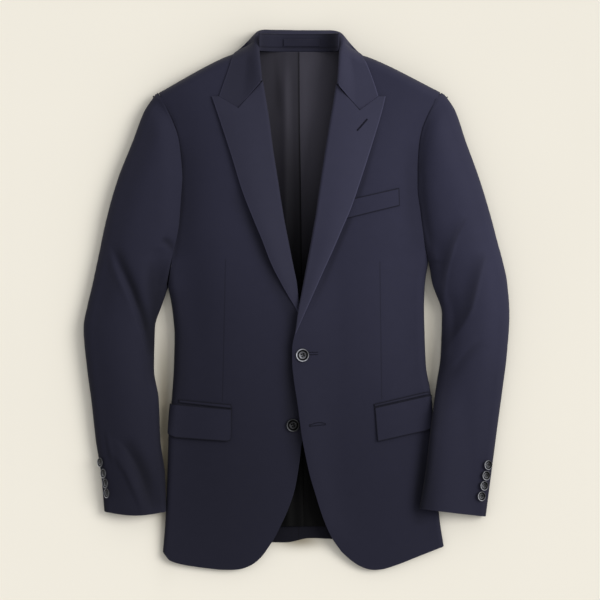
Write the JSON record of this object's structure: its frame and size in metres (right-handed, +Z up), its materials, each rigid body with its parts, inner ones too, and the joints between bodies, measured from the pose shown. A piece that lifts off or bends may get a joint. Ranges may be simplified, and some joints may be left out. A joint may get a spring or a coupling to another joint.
{
  "type": "suit jacket",
  "caption": "Single-breasted peak-lapel suit jacket in dark navy wool, laid flat on its back with the front buttoned, the sleeves down beside it and the collar rolled.",
  "frame": {"origin": "middle of the underside of the whole jacket, on the surface it lies on", "axes": "+X to the wearer's left, +Y from the hem toward the collar, +Z up out of the surface, through the front of the jacket"},
  "size_m": [0.6474, 0.8226, 0.0583],
  "materials": {
    "wool": "dark navy wool cloth",
    "facing": "dark navy wool cloth of the lapels and collar",
    "lining": "dark smooth lining cloth",
    "horn": "dark polished horn"
  },
  "bodies": {
    "root": {"front_right": "wool", "front_left": "wool", "side_panel_right": "wool", "side_panel_left": "wool", "back_right": "wool", "back_left": "wool", "sleeve_top_head_right": "wool", "sleeve_top_head_left": "wool", "sleeve_top_upper_outer_right": "wool", "sleeve_top_upper_outer_left": "wool", "sleeve_top_upper_inner_right": "wool", "sleeve_top_upper_inner_left": "wool", "sleeve_top_lower_outer_right": "wool", "sleeve_top_lower_outer_left": "wool", "sleeve_top_lower_inner_right": "wool", "sleeve_top_lower_inner_left": "wool", "sleeve_under_upper_outer_right": "wool", "sleeve_under_upper_outer_left": "wool", "sleeve_under_upper_inner_right": "wool", "sleeve_under_upper_inner_left": "wool", "sleeve_under_lower_outer_right": "wool", "sleeve_under_lower_outer_left": "wool", "sleeve_under_lower_inner_right": "wool", "sleeve_under_lower_inner_left": "wool", "pocket_flap_right": "wool", "pocket_flap_left": "wool", "pocket_jet_right": "wool", "pocket_jet_left": "wool", "chest_welt": "wool", "lapel_right": "facing", "lapel_left": "facing", "collar": "facing", "collar_stand": "facing", "hanger_loop": "facing", "lining_back_right": "lining", "lining_back_left": "lining", "button_top": "horn", "button_bottom": "horn", "cuff_button_right_1": "horn", "cuff_button_right_2": "horn", "cuff_button_right_3": "horn", "cuff_button_right_4": "horn", "cuff_button_left_1": "horn", "cuff_button_left_2": "horn", "cuff_button_left_3": "horn", "cuff_button_left_4": "horn"}
  },
  "joints": []
}
